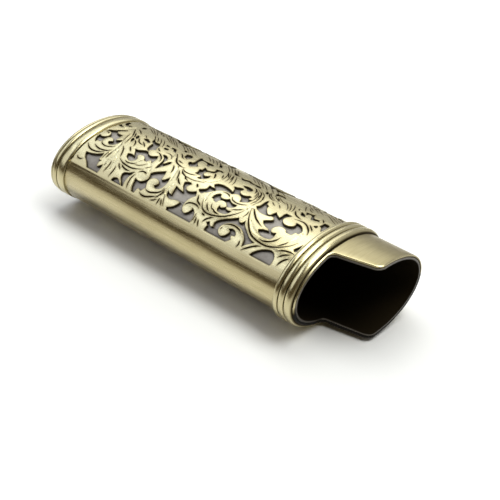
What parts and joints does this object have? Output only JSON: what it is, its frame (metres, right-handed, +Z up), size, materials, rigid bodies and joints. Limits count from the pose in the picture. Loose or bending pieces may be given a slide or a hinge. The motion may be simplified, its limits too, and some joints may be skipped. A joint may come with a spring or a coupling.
{
  "type": "lighter case",
  "caption": "Oval slip-on brass sleeve for a flat pocket lighter, with pierced scrollwork, a beaded collar and band, and a cut-away flame hood.",
  "frame": {"origin": "on the surface the case lies on, under the middle of its length and width", "axes": "+X along the case from the closed base towards the flame hood, +Y across the width from the thumb cut to the hood side, +Z up through the thickness"},
  "size_m": [0.079, 0.0296, 0.0185],
  "materials": {
    "antique_brass": "antiqued brass, brushed along the case, with darkened recesses",
    "grey_liner": "dull grey plated sheet, darkened"
  },
  "bodies": {
    "root": {"outer_sleeve": "antique_brass", "top_collar": "antique_brass", "base_band": "antique_brass", "base_plate": "antique_brass", "liner": "grey_liner"}
  },
  "joints": []
}
